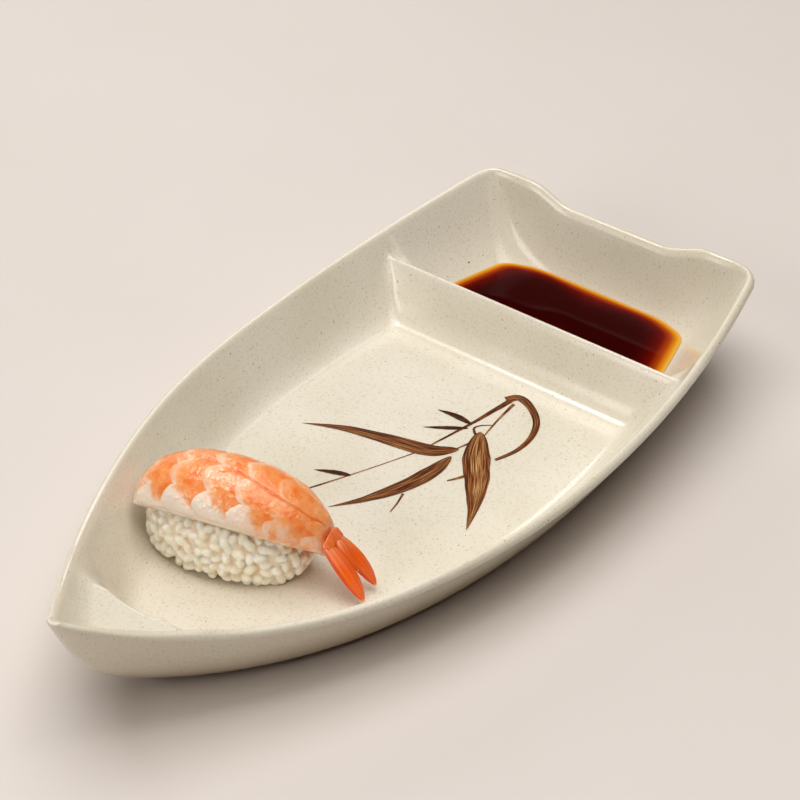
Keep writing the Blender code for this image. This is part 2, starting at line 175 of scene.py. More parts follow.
def outer_height(x, y):
    """Height of the outside: a foot, hollowed a little in its middle, then the wall, full at the bow."""
    to_bow = min(max((x - WIDEST_X) / (BOW_X - WIDEST_X), 0), 1)
    wall = wall_height(x, y, 1)
    below_rim = min(max(1 - wall / sheer(x), 0), 1)
    wall -= BOW_BELLY * sheer(x) * to_bow**BOW_BELLY_POWER * math.sin(math.pi * below_rim)
    base_blend = BASE_BLEND + (BOW_BASE_BLEND - BASE_BLEND) * to_bow**BOW_BASE_POWER
    height = smooth_max(0, wall, base_blend)
    inside_foot = -wall * FLARE_RUN - FOOT_WIDTH
    return height + FOOT_RECESS * ease(inside_foot / FOOT_SLOPE) * ease(1 - height / FOOT_EDGE_HEIGHT)


def hull_stations():
    """Places of the cross-sections along the dish, closest together where its surface bends most."""
    transom_foot = STERN_X + (RIM_HEIGHT + STERN_RISE - FLOOR_TOP) * RAKE_RUN + WELL_COVE / 2
    divider_aft = DIVIDER_X - DIVIDER_FOOT - DIVIDER_FOOT_BLEND / 2
    divider_fore = DIVIDER_X + DIVIDER_FOOT + DIVIDER_FOOT_BLEND / 2
    deck_foot = DECK_EDGE_X - DECK_FOOT - FLOOR_COVE / 2
    runs = (
        (STERN_X, transom_foot, 30),
        (transom_foot, divider_aft, 16),
        (divider_aft, DIVIDER_X, 26),
        (DIVIDER_X, divider_fore, 26),
        (divider_fore, deck_foot, 80),
        (deck_foot, DECK_EDGE_X, 34),
        (DECK_EDGE_X, BOW_X, 36),
    )
    places = [STERN_X]
    for start, end, count in runs:
        places += [start + (end - start) * (step + 1) / count for step in range(count)]
    return places


INNER_TIP_X = BOW_X - (rim_spread(BOW_X) + INNER_TIP_WIDTH / 2) / plan_slope(BOW_X)


def rim_point(x, across, side):
    """A point of the plan: x is a station, across runs from -1 to 1, side is -1 inside and 1 outside."""
    bow_end = INNER_TIP_X if side < 0 else BOW_X + RIM_RADIUS * math.sqrt(1 - across * across)
    stern_half = half_beam(STERN_X) + side * RIM_RADIUS
    rounding = CORNER_ROUNDING + side * 2 * RIM_RADIUS
    from_side = min(stern_half * (1 - abs(across)), rounding)
    corner = (math.sqrt(rounding) - math.sqrt(from_side)) ** 2 * RAKE_RUN / FLARE_RUN
    in_notch = (NOTCH_WIDTH / 2 + NOTCH_SHOULDER / 2 - abs(across) * stern_half) / NOTCH_SHOULDER
    stern_end = STERN_X - side * RIM_RADIUS + corner + NOTCH_DROP * ease(in_notch) * RAKE_RUN
    near_bow = max((x - DECK_EDGE_X) / DECK_EDGE_FROM_TIP, 0)
    near_stern = max((DIVIDER_X - DIVIDER_FOOT - x) / (DIVIDER_FROM_STERN - DIVIDER_FOOT), 0)
    placed_x = x + (bow_end - BOW_X) * near_bow + (stern_end - STERN_X) * near_stern
    rim_x = min(placed_x, BOW_X)
    return placed_x, across * (half_beam(rim_x) + side * rim_spread(rim_x))


def rim_cap(share):
    """How far across the rim and how high in its cap a ring lies; it leaves the inner wall in one curve."""
    if share < 0.5:
        rise = 2 * share
        return rise * (1 - rise) * FLARE_RUN + rise * rise / 2, 1 - (1 - rise) ** 2
    turn = math.pi * (share - 0.5)
    return (1 + math.sin(turn)) / 2, math.cos(turn)


def lay_sheet(bm, places, side, height):
    """One face of the dish on a grid, and a table from each vertex to its station and its place across."""
    made = bmesh.ops.create_grid(bm, x_segments=len(places) - 1, y_segments=STRAKES, size=1)
    keys = {}
    for vert in made["verts"]:
        station = places[round((vert.co.x + 1) / 2 * (len(places) - 1))]
        across = vert.co.y * (1 + STRAKE_CROWDING - STRAKE_CROWDING * vert.co.y**2)
        x, y = rim_point(station, across, side)
        vert.co = (x, y, height(x, y))
        keys[vert] = (station, across)
    return keys


def finish_piece(bm, name, *materials):
    """Turns a bmesh into a smooth-shaded object of the scene."""
    bmesh.ops.recalc_face_normals(bm, faces=bm.faces)
    mesh = bpy.data.meshes.new(name)
    bm.to_mesh(mesh)
    bm.free()
    for material in materials:
        mesh.materials.append(material)
    mesh.shade_smooth()
    piece = bpy.data.objects.new(name, mesh)
    bpy.context.scene.collection.objects.link(piece)
    return piece


def srgb(red, green, blue):
    """A screen colour, 0 to 255, as the linear values that a shader takes."""
    shares = (value / 255 for value in (red, green, blue))
    return (*(v / 12.92 if v < 0.04045 else ((v + 0.055) / 1.055) ** 2.4 for v in shares), 1)


def add_node(tree, kind, inputs, **settings):
    """A shader node; inputs maps a socket's name or number to a value or to another node's output."""
    made = tree.nodes.new(kind)
    for name, value in settings.items():
        setattr(made, name, value)
    for key, value in inputs.items():
        if isinstance(value, bpy.types.NodeSocket):
            tree.links.new(value, made.inputs[key])
        else:
            made.inputs[key].default_value = value
    return made


def attribute(tree, name):
    return add_node(tree, "ShaderNodeAttribute", {}, attribute_name=name).outputs["Fac"]


def object_place(tree):
    return add_node(tree, "ShaderNodeTexCoord", {}).outputs["Object"]


def noise_value(tree, place, scale, detail):
    sockets = {"Vector": place, "Scale": scale, "Detail": detail}
    return add_node(tree, "ShaderNodeTexNoise", sockets).outputs["Fac"]


def blend_colour(tree, share, first, second):
    return add_node(tree, "ShaderNodeMix", {0: share, 6: first, 7: second}, data_type="RGBA").outputs[2]


def step_between(tree, value, low, high):
    """0 below low and 1 above high, with a soft step between; low may be the larger of the two."""
    sockets = {"Value": value, "From Min": low, "From Max": high}
    return add_node(tree, "ShaderNodeMapRange", sockets, interpolation_type="SMOOTHSTEP").outputs[0]


def multiply(tree, first, second):
    return add_node(tree, "ShaderNodeMath", {0: first, 1: second}, operation="MULTIPLY").outputs[0]


def subtract(tree, first, second):
    return add_node(tree, "ShaderNodeMath", {0: first, 1: second}, operation="SUBTRACT").outputs[0]


def start_material(name):
    material = bpy.data.materials.new(name)
    material.use_nodes = True
    tree = material.node_tree
    return material, tree, tree.nodes["Principled BSDF"]


def specks(tree, place, scale, chosen, radius):
    """A mask of round specks, one in some of the cells of a loose grid, of many sizes up to radius."""
    cells = add_node(tree, "ShaderNodeTexVoronoi", {"Vector": place, "Scale": scale})
    pick = add_node(tree, "ShaderNodeSeparateColor", {0: cells.outputs["Color"]}).outputs[0]
    sized = {"Value": pick, "From Min": 1 - chosen, "From Max": 1, "To Min": 0, "To Max": radius}
    reach = add_node(tree, "ShaderNodeMapRange", sized).outputs[0]
    inside = subtract(tree, reach, cells.outputs["Distance"])
    return step_between(tree, inside, 0, radius * 0.35)


places = hull_stations()
bm = bmesh.new()
rim_layer = bm.verts.layers.float.new("rim")
outside_layer = bm.verts.layers.float.new("outside")
keys = lay_sheet(bm, places, -1, inner_height)
edges = [edge for edge in bm.edges if edge.is_boundary]
for step in range(1, RIM_STEPS + 1):
    share, crown = rim_cap(step / RIM_STEPS)
    made = bmesh.ops.extrude_edge_only(bm, edges=edges)["geom"]
    edges = [item for item in made if isinstance(item, bmesh.types.BMEdge)]
    fresh = {}
    for vert in (item for item in made if isinstance(item, bmesh.types.BMVert)):
        neighbours = (edge.other_vert(vert) for edge in vert.link_edges)
        fresh[vert] = next(keys[other] for other in neighbours if other in keys)
    keys.update(fresh)
    for vert, (station, across) in fresh.items():
        inner_x, inner_y = rim_point(station, across, -1)
        outer_x, outer_y = rim_point(station, across, 1)
        inside = Vector((inner_x, inner_y, inner_height(inner_x, inner_y)))
        outside = Vector((outer_x, outer_y, outer_height(outer_x, outer_y)))
        vert.co = inside.lerp(outside, share)
        vert.co.z += RIM_RADIUS * crown
        vert[rim_layer] = crown
for vert in lay_sheet(bm, places, 1, outer_height):
    vert[outside_layer] = 1
bmesh.ops.remove_doubles(bm, verts=bm.verts, dist=MERGE_DISTANCE)
tip_verts = [vert for vert in bm.verts if vert.co.x > BOW_X - TIP_LENGTH and vert.co.z > TIP_BASE]
for vert in tip_verts:
    near_middle = max(1 - abs(vert.co.y) / TIP_FILL_HALF_WIDTH, 0)
    vert.co.z += TIP_FILL * near_middle * ease((vert.co.z - TIP_FILL_BASE) / TIP_FILL_RISE)
for _ in range(TIP_SMOOTHINGS):
    bmesh.ops.smooth_vert(bm, verts=tip_verts, factor=0.5, use_axis_x=True, use_axis_y=True, use_axis_z=True)

glaze, tree, shader = start_material("cream_speckled_glaze")
place = object_place(tree)
clouds = noise_value(tree, place, 30, 3)
mottle = noise_value(tree, place, 1500, 2)
colour = blend_colour(tree, step_between(tree, clouds, 0.3, 0.7), srgb(231, 224, 207), srgb(224, 216, 196))
colour = blend_colour(tree, step_between(tree, mottle, 0.5, 0.95), colour, srgb(186, 171, 138))
edge_share = attribute(tree, "rim")
colour = blend_colour(tree, multiply(tree, edge_share, 0.22), colour, srgb(214, 200, 168))
colour = blend_colour(tree, specks(tree, place, 640, 0.30, 0.20), colour, srgb(168, 146, 108))
colour = blend_colour(tree, specks(tree, place, 115, 0.60, 0.058), colour, srgb(88, 60, 38))
height = add_node(tree, "ShaderNodeSeparateXYZ", {0: place}).outputs["Z"]
outside = attribute(tree, "outside")
# The outside is painted darker and browner toward the foot: painted shade where the flared wall hangs over
# the table.
painted_foot_shade = multiply(tree, outside, step_between(tree, height, 0.020, 0.002))
colour = blend_colour(tree, multiply(tree, painted_foot_shade, 0.8), colour, srgb(176, 150, 112))
bare = step_between(tree, height, 0.0012, 0.0006)
grit = noise_value(tree, place, 900, 4)
clay = blend_colour(tree, grit, srgb(196, 172, 138), srgb(158, 132, 100))
tree.links.new(blend_colour(tree, bare, colour, clay), shader.inputs["Base Color"])
roughness = add_node(tree, "ShaderNodeMapRange", {"Value": bare, "To Min": 0.16, "To Max": 0.8})
tree.links.new(roughness.outputs[0], shader.inputs["Roughness"])
ripple = noise_value(tree, place, 260, 2)
skin = add_node(tree, "ShaderNodeBump", {"Height": ripple, "Strength": 0.35, "Distance": 0.00006})
tree.links.new(skin.outputs[0], shader.inputs["Normal"])

dish = finish_piece(bm, "glazed_dish", glaze)
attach(dish, "dish")
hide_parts("dish")

# The spray of bamboo leaves is brushed on the floor in iron brown, under the glaze: two long leaves,
# one that hangs, three buds, and thin stems that end in a bent shoot. Each stroke is a film on the floor,
# heavy where the brush was set down and streaked where it ran dry.
PAINT_HEIGHT = 0.00005
PAINT_LAYER = 0.000006
PAINT_MIDDLE = Vector((0.001, 0))
MILLIMETRES = 1000


def stroke_point(points, share):
    """A point on a smooth path through the given points, share running from 0 to 1."""
    spot = min(max(share, 0), 1) * (len(points) - 1)
    first = min(int(spot), len(points) - 2)
    local = spot - first
    a, b, c, d = (Vector(points[min(max(first + k, 0), len(points) - 1)]) for k in (-1, 0, 1, 2))
    return (
        b * 2
        + (c - a) * local
        + (a * 2 - b * 5 + c * 4 - d) * local**2
        + (b * 3 - a - c * 3 + d) * local**3
    ) / 2


def leaf_width(share, fullest):
    """Breadth of a brushed leaf as a share of its widest: pointed at its tip, blunter at its root."""
    if share < fullest:
        return math.sin(math.pi / 2 * share / fullest) ** 0.75
    return math.cos(math.pi / 2 * (share - fullest) / (1 - fullest)) ** 1.25


def brush(bm, points, width, profile, dry, dry_side, seed):
    """One stroke: a ribbon along points in millimetres; seed sets its layer and streaks, dry how it fades."""
    film = PAINT_HEIGHT + seed * PAINT_LAYER
    made = bmesh.ops.create_grid(bm, x_segments=64, y_segments=12, size=1)
    for vert in made["verts"]:
        share = (vert.co.x + 1) / 2
        across = vert.co.y
        spine = stroke_point(points, share)
        ahead = (stroke_point(points, share + 0.01) - stroke_point(points, share - 0.01)).normalized()
        wobble = 1 + 0.10 * noise.noise((share * 9, across, seed * 7.3))
        reach = across * width / 2 * profile(share) * wobble
        spot = (spine + Vector((-ahead.y, ahead.x)) * reach) / MILLIMETRES + PAINT_MIDDLE
        vert.co = (spot.x, spot.y, inner_height(spot.x, spot.y) + film)
        vert[along_layer] = share * 3 + seed
        vert[across_layer] = across * width / 6
        heavy = 1 - 0.6 * max(abs(across) * 4 - 3, 0)
        vert[dry_layer] = dry * heavy * math.exp(-((across - dry_side) ** 2) / 0.7)


bm = bmesh.new()
along_layer = bm.verts.layers.float.new("along")
across_layer = bm.verts.layers.float.new("across")
dry_layer = bm.verts.layers.float.new("dry")


def full_leaf(share):
    return leaf_width(share, 0.32)


def bud(share):
    return leaf_width(share, 0.40)


def stem(share):
    return 0.75 + 0.25 * math.cos(2 * math.pi * share)


def fading(share):
    return 1.05 - 0.7 * share


brush(bm, [(13.0, -13.9), (-0.8, -7.4), (-21.0, 1.2), (-30.0, 3.4)], 0.75, stem, 0.8, 0.0, 1)
brush(bm, [(-59.5, 8.7), (-51.0, 7.4), (-42.5, 6.0), (-30.0, 3.4)], 1.9, fading, 0.15, 0.4, 2)
brush(bm, [(-35.5, 11.6), (-31.0, 10.2), (-27.5, 8.5)], 0.9, stem, 0.2, 0.0, 3)
brush(bm, [(-59.0, 10.6), (-50.0, 11.4), (-40.5, 12.8)], 1.1, fading, 0.75, 0.0, 4)
brush(bm, [(-59.2, 7.6), (-62.6, 10.0), (-61.0, 15.2), (-56.0, 21.2), (-49.0, 24.4), (-41.0, 24.8),
           (-33.0, 22.4)], 3.2, fading, 0.35, -0.3, 5)
brush(bm, [(-24.0, 20.6), (-20.0, 19.2), (-16.3, 17.0)], 1.5, fading, 0.7, 0.2, 6)
brush(bm, [(-39.4, 10.4), (-41.6, 8.2), (-44.0, 9.0), (-46.4, 11.8)], 0.9, fading, 0.1, 0.0, 7)
brush(bm, [(-3.6, 10.4), (1.0, 11.8), (5.4, 12.6)], 0.8, fading, 0.7, 0.0, 8)
brush(bm, [(-30.6, 10.8), (-24.8, 4.0), (-21.6, -8.5), (-17.6, -23.0), (-11.6, -35.2)], 5.6, full_leaf,
      0.55, 0.45, 11)
brush(bm, [(-26.4, 11.0), (-16.6, 10.8), (-5.5, 8.0), (5.2, 3.2), (15.0, -3.3)], 5.4, full_leaf, 0.5, 0.1, 12)
brush(bm, [(-41.4, 10.8), (-31.5, 16.6), (-22.0, 23.6), (-12.0, 30.0), (-1.2, 35.2)], 8.4, full_leaf,
      0.9, 0.15, 13)
brush(bm, [(-42.8, 6.4), (-43.3, 0.0), (-42.4, -6.3)], 2.2, bud, -0.6, 0.0, 14)
brush(bm, [(-40.6, 6.8), (-36.6, 1.2), (-32.6, -4.7)], 1.7, bud, -0.6, 0.0, 15)
brush(bm, [(-0.9, -6.9), (1.0, -12.0), (3.7, -17.5)], 2.0, bud, -0.6, 0.0, 16)

iron, tree, shader = start_material("iron_brown_brushwork")
along = attribute(tree, "along")
across = attribute(tree, "across")
dryness = attribute(tree, "dry")
grain = add_node(tree, "ShaderNodeCombineXYZ", {0: along, 1: multiply(tree, across, 6)}).outputs[0]
streaks = noise_value(tree, grain, 1.6, 5)
bristles = multiply(tree, step_between(tree, streaks, 0.30, 0.70), 0.70)
wash = add_node(tree, "ShaderNodeMath", {0: bristles, 1: multiply(tree, dryness, 0.36)}, operation="ADD")
tone = add_node(tree, "ShaderNodeValToRGB", {0: wash.outputs[0]})
for position, shade in ((0.30, srgb(74, 32, 10)), (0.56, srgb(114, 60, 24)), (0.78, srgb(164, 112, 60))):
    tone.color_ramp.elements.new(position).color = shade
tone.color_ramp.elements[0].color = srgb(38, 15, 4)
tone.color_ramp.elements[-1].position = 1
tone.color_ramp.elements[-1].color = srgb(206, 174, 118)
tree.links.new(tone.outputs[0], shader.inputs["Base Color"])
shader.inputs["Roughness"].default_value = 0.25
shader.inputs["Specular IOR Level"].default_value = 0.15

spray = finish_piece(bm, "painted_spray", iron)
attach(spray, "dish")

# Soy sauce stands in the well, shallow at its shores, so that it is amber there and near black in the
# middle. It is a still pool with a level top that creeps up a little where it wets the glaze.
SAUCE_LEVEL = 0.0085
SAUCE_DEPTH = 0.0035
SHORE_GAP = 0.00012
SHORE_CREEP = 0.0002
CREEP_LENGTH = 0.0009
BED_GAP = 0.0001
SHELF = 0.0034
PORT_SHELF = 0.0036
PORT_REACH = 0.04
SAUCE_TURNS = 192
SAUCE_RINGS = 40


def shore_distance(middle, heading):
    """Distance from the middle of the well to the line where the glaze comes out of the sauce."""
    near = 0
    step = 0.002
    while step > MERGE_DISTANCE:
        x = middle + (near + step) * math.cos(heading)
        if inner_height(x, (near + step) * math.sin(heading)) < SAUCE_LEVEL:
            near += step
        else:
            step /= 2
    return near


well_middle = (STERN_X + (RIM_HEIGHT + STERN_RISE - SAUCE_LEVEL) * RAKE_RUN + DIVIDER_X
               - (DIVIDER_TOP - SAUCE_LEVEL) * DIVIDER_RUN) / 2
bm = bmesh.new()
depth_layer = bm.verts.layers.float.new("depth")
reaches = [shore_distance(well_middle, 2 * math.pi * turn / SAUCE_TURNS) for turn in range(SAUCE_TURNS)]
for bottom in (False, True):
    made = bmesh.ops.create_grid(bm, x_segments=SAUCE_TURNS, y_segments=SAUCE_RINGS, size=1)
    for vert in made["verts"]:
        turn = round((vert.co.x + 1) / 2 * SAUCE_TURNS) % SAUCE_TURNS
        share = math.sin(math.pi / 2 * (vert.co.y + 1) / 2)
        reach = (reaches[turn] - SHORE_GAP) * share
        x = well_middle + reach * math.cos(2 * math.pi * turn / SAUCE_TURNS)
        y = reach * math.sin(2 * math.pi * turn / SAUCE_TURNS)
        bed = inner_height(x, y)
        offshore = reaches[turn] - reach
        top = SAUCE_LEVEL + SHORE_CREEP * math.exp(-offshore / CREEP_LENGTH)
        vert.co = (x, y, min(bed + BED_GAP, top) if bottom and share < 0.999 else top)
        shelf = SHELF + PORT_SHELF * max(y / PORT_REACH, 0) ** 2
        darkening = 1 - math.exp(-((offshore / shelf) ** 1.4))
        vert[depth_layer] = 0.2 * (SAUCE_LEVEL - bed) / SAUCE_DEPTH + 0.8 * darkening
bmesh.ops.remove_doubles(bm, verts=bm.verts, dist=2 * MERGE_DISTANCE)

soy, tree, shader = start_material("soy_sauce_pool")
depth = attribute(tree, "depth")
tone = add_node(tree, "ShaderNodeValToRGB", {0: depth})
for position, shade in ((0.18, srgb(206, 132, 22)), (0.42, srgb(160, 62, 8)), (0.72, srgb(100, 12, 5))):
    tone.color_ramp.elements.new(position).color = shade
tone.color_ramp.elements[0].color = srgb(222, 172, 72)
tone.color_ramp.elements[-1].color = srgb(46, 4, 3)
tree.links.new(tone.outputs[0], shader.inputs["Base Color"])
shader.inputs["Roughness"].default_value = 0.03
shader.inputs["Specular IOR Level"].default_value = 0.012

sauce = finish_piece(bm, "soy_sauce_pool", soy)
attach(sauce, "dish")
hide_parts("soy_sauce")

# The nigiri's rice is a hand-pressed block of short-grain rice: plump, sticky, half-clear grains that lie
# every way, their ends standing out of the block, over a packed core.
NIGIRI_PLACE = (0.0477, -0.0126, 0)
NIGIRI_HEADING = math.radians(104.3)
NIGIRI = Matrix.Translation(NIGIRI_PLACE) @ Matrix.Rotation(NIGIRI_HEADING, 4, "Z")
RICE_HALF_LENGTH = 0.0246
RICE_HALF_WIDTH = 0.0145
RICE_CENTRE_Z = 0.0113
RICE_UPPER = 0.0180
RICE_LOWER = 0.0100
ROUNDING = 2.2
FOOD_BASE = 0.0053
GRAIN_LENGTH = 0.0042
GRAIN_WIDTH = 0.0028
GRAIN_SPACING = 0.0024
GRAIN_INSET = 0.0004
PRESSED_INSET = 0.0014
LOWEST_GRAIN = 0.0010
GRAIN_LEAN = 0.7
GRAIN_TRIES = 9000
CORE_DEPTH = 0.0006
GRAIN_BLEND = 0.00024
COVER_START = 37
COVER_STEP = 11
EQUATOR_SHIFT = 0.32


def rice_surface(direction, inset):
    """A point of the pressed block's surface in a direction from its middle, moved in by inset."""
    fullness = sum(abs(value) ** ROUNDING for value in direction) ** (1 / ROUNDING)
    depth = RICE_UPPER if direction.z > 0 else RICE_LOWER
    unit = direction / fullness
    return Vector((
        unit.x * (RICE_HALF_LENGTH - inset),
        unit.y * (RICE_HALF_WIDTH - inset),
        max(RICE_CENTRE_Z + unit.z * (depth - inset), FOOD_BASE),
    ))


def outward(direction):
    depth = RICE_UPPER if direction.z > 0 else RICE_LOWER
    return Vector((
        direction.x / RICE_HALF_LENGTH, direction.y / RICE_HALF_WIDTH, direction.z / depth
    )).normalized()


def under_shrimp(direction):
    """1 where the flesh lies on the rice, 0 on the open sides, with a soft step between."""
    rise = math.atan2(direction.z / RICE_UPPER, abs(direction.y) / RICE_HALF_WIDTH)
    return ease((math.degrees(rise) - COVER_START) / COVER_STEP)


chance = random.Random(7)
grains = []
for _ in range(GRAIN_TRIES):
    direction = Vector((chance.gauss(0, 1), chance.gauss(0, 0.7), chance.gauss(0, 0.6))).normalized()
    covered = under_shrimp(direction)
    spot = rice_surface(direction, GRAIN_INSET + PRESSED_INSET * covered)
    if spot.z < FOOD_BASE + LOWEST_GRAIN:
        continue
    if any((spot - other[0]).length_squared < GRAIN_SPACING**2 for other in grains):
        continue
    normal = outward(direction)
    loose = Vector((chance.gauss(0, 1), chance.gauss(0, 1), chance.gauss(0, 1)))
    level = normal.cross(loose).normalized()
    lean = chance.uniform(-GRAIN_LEAN, GRAIN_LEAN) * (1 - covered)
    axis = (level * math.cos(lean) + normal * math.sin(lean)).normalized()
    size = chance.uniform(0.84, 1.14)
    grains.append((spot, axis, size, chance.uniform(0.4, 1)))
finder = kdtree.KDTree(len(grains))
for number, grain in enumerate(grains):
    finder.insert(grain[0], number)
finder.balance()


def grain_height(point, normal, grain):
    """Height at which a line out of the block leaves a grain, or None where it misses it."""
    spot, axis, size, _ = grain
    start = point - spot
    start_along = start.dot(axis)
    aim_along = normal.dot(axis)
    long_squared = (GRAIN_LENGTH * size / 2) ** 2
    wide_squared = (GRAIN_WIDTH * size / 2) ** 2
    a = aim_along**2 / long_squared + (1 - aim_along**2) / wide_squared
    b = start_along * aim_along / long_squared + (start.dot(normal) - start_along * aim_along) / wide_squared
    c = start_along**2 / long_squared + (start.length_squared - start_along**2) / wide_squared - 1
    inside = b * b - a * c
    return (math.sqrt(inside) - b) / a if inside > 0 else None


bm = bmesh.new()
tone_layer = bm.verts.layers.float.new("tone")
bmesh.ops.create_uvsphere(bm, u_segments=500, v_segments=170, radius=1)
for vert in bm.verts:
    sunk = vert.co.z - EQUATOR_SHIFT * math.cos(math.pi / 2 * vert.co.z) ** 2
    level = math.sqrt(max(1 - sunk * sunk, 0)) / max(math.hypot(vert.co.x, vert.co.y), 0.000001)
    direction = Vector((vert.co.x * level, vert.co.y * level, sunk))
    point = rice_surface(direction, 0)
    normal = outward(direction)
    height = -CORE_DEPTH - PRESSED_INSET * under_shrimp(direction)
    tone = 0
    for _, number, _ in finder.find_range(point, GRAIN_LENGTH * 0.6):
        top = grain_height(point, normal, grains[number])
        if top is not None:
            if top > height:
                tone = grains[number][3]
            height = smooth_max(height, top, GRAIN_BLEND)
    vert.co = point + normal * height
    vert.co.z = max(vert.co.z, FOOD_BASE - 0.0002)
    vert[tone_layer] = tone
bmesh.ops.transform(bm, matrix=NIGIRI, verts=bm.verts)

rice, tree, shader = start_material("sticky_rice")
tint = attribute(tree, "tone")
place = object_place(tree)
starch = noise_value(tree, place, 420, 2)
colour = blend_colour(tree, tint, srgb(252, 231, 206), srgb(255, 243, 227))
colour = blend_colour(tree, step_between(tree, starch, 0.50, 0.80), colour, srgb(255, 251, 246))
tree.links.new(colour, shader.inputs["Base Color"])
shader.inputs["Roughness"].default_value = 0.22
shader.inputs["Subsurface Weight"].default_value = 0.85
shader.inputs["Subsurface Radius"].default_value = (1.0, 0.82, 0.64)
shader.inputs["Subsurface Scale"].default_value = 0.0022

rice_block = finish_piece(bm, "rice_grains", rice)
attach(rice_block, "rice")
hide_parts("rice_block")

# The shrimp is boiled, slit along its belly and laid open over the rice. Its back keeps the marks of the
# shell: rounded segment fronts, two to a side, that overlap like tiles, orange behind and white in front.
# The slit shows as a thin groove that runs down the tail half.
FLESH_HEAD = 0.0275
FLESH_TAIL = 0.0310
FLESH_TUCK = 0.0022
FLESH_THICKNESS = 0.0068
FLESH_EDGE = 0.0026
FLESH_WRAP = math.radians(50)
FLESH_GAP = 0.0003
SEGMENT_LENGTH = 0.0104
FIRST_FRONT = -0.0258
SCALLOP = 0.0034
SEGMENT_STEP = 0.00036
SEGMENT_WANDER = 0.0011
SIDE_FOLD = 0.00040
SKIN_DIMPLE = 0.00012
SLIT_DEPTH = 0.0006
SLIT_HALF_WIDTH = 0.020
SKIN_INSET = 0.0003
TAIL_PINCH = 0.20


def flesh_point(along, wrap, outer):
    """A point of the flesh: wrap runs from -1 to 1 round the rice, outer is 0 on it and 1 on the back."""
    end = FLESH_HEAD if along < 0 else FLESH_TAIL
    fullness = (1 - abs(along / (end + FLESH_TUCK)) ** ROUNDING) ** (1 / ROUNDING)
    sine = math.sin(wrap * FLESH_WRAP)
    cosine = math.cos(wrap * FLESH_WRAP)
    squareness = (abs(sine) ** ROUNDING + cosine**ROUNDING) ** (-1 / ROUNDING)
    middle = FLESH_THICKNESS * (1 - 0.3 * abs(along / end) ** 3)
    thickness = middle + (FLESH_EDGE - middle) * wrap**2
    reach_y = (RICE_HALF_WIDTH + FLESH_GAP) * fullness * squareness + outer * thickness
    reach_z = (RICE_UPPER + FLESH_GAP) * fullness * squareness + outer * thickness
    return Vector((along, sine * reach_y, RICE_CENTRE_Z + cosine * reach_z))


def slit_wrap(along):
    """Where the slit runs over the back: near the ridge at first, then down the near side of the tail."""
    return -0.03 - 0.21 * ease((along + 0.002) / 0.022) + 0.20 * ease((along - 0.0265) / 0.0045)


def segment_place(along, wrap):
    """How far a point is from its segment's front to the next one, 0 to 1, and its place in the scallops."""
    middle = slit_wrap(along)
    side = (wrap - middle) / (1 - middle if wrap > middle else -1 - middle)
    lobe = abs(math.sin(2 * math.pi * min(side, 0.999))) ** 0.7
    wander = SEGMENT_WANDER * noise.noise((along * 130, wrap * 4, 4))
    position = (along + wander - FIRST_FRONT - SCALLOP * (1 - lobe)) / SEGMENT_LENGTH
    return position - math.floor(position), lobe


bm = bmesh.new()
pale_layer = bm.verts.layers.float.new("pale")
side_layer = bm.verts.layers.float.new("side")
slit_layer = bm.verts.layers.float.new("slit")
bmesh.ops.create_grid(bm, x_segments=300, y_segments=120, size=1)
doubled = bmesh.ops.extrude_face_region(bm, geom=bm.faces[:])["geom"]
backs = {item for item in doubled if isinstance(item, bmesh.types.BMVert)}
for vert in bm.verts:
    along = vert.co.x * (FLESH_HEAD if vert.co.x < 0 else FLESH_TAIL)
    wrap = vert.co.y
    phase, lobe = segment_place(along, wrap)
    tail_half = ease((along - 0.004) / 0.016)
    lower = ease((abs(wrap) - 0.30 - 0.34 * phase) / 0.36)
    rise = ease(phase / 0.10) * (1 - phase) ** 1.2 * (0.55 + 0.45 * lobe)
    step = SEGMENT_STEP * (1 - 0.7 * tail_half) * (1 - 0.4 * lower) * rise
    fold = SIDE_FOLD * lower * math.sin(math.pi * phase) ** 0.8 * (1 - 0.8 * tail_half)
    cut = math.exp(-(((wrap - slit_wrap(along)) / SLIT_HALF_WIDTH) ** 2)) * ease((along + 0.006) / 0.012)
    front = (1 - ease((phase - 0.04) / 0.46)) * (0.85 - 0.55 * tail_half)
    head = ease((-along - 0.0215) / 0.004) * ease((abs(wrap) - 0.15) / 0.3)
    lip = math.sqrt(1 - min(max(abs(wrap) * 10 - 9, 0), 1) ** 2)
    end_lip = math.sqrt(1 - min(max(abs(vert.co.x) * 20 - 19, 0), 1) ** 2)
    outer = max(lip * end_lip, 0.02) if vert in backs else 0
    spot = flesh_point(along, wrap, outer)
    if vert in backs:
        normal = Vector((0, spot.y, spot.z - RICE_CENTRE_Z)).normalized()
        dimple = SKIN_DIMPLE * noise.noise((along * 420, wrap * 9, 2))
        spot += normal * (step + fold + dimple - SLIT_DEPTH * cut - SKIN_INSET) * lip * end_lip
    spot.y *= 1 - TAIL_PINCH * ease((along - 0.020) / 0.011)
    vert.co = spot
    vert[pale_layer] = max(front, head, lower * (1 - 0.45 * tail_half))
    vert[side_layer] = lower * (1 - 0.55 * tail_half)
    vert[slit_layer] = cut
bmesh.ops.transform(bm, matrix=NIGIRI, verts=bm.verts)

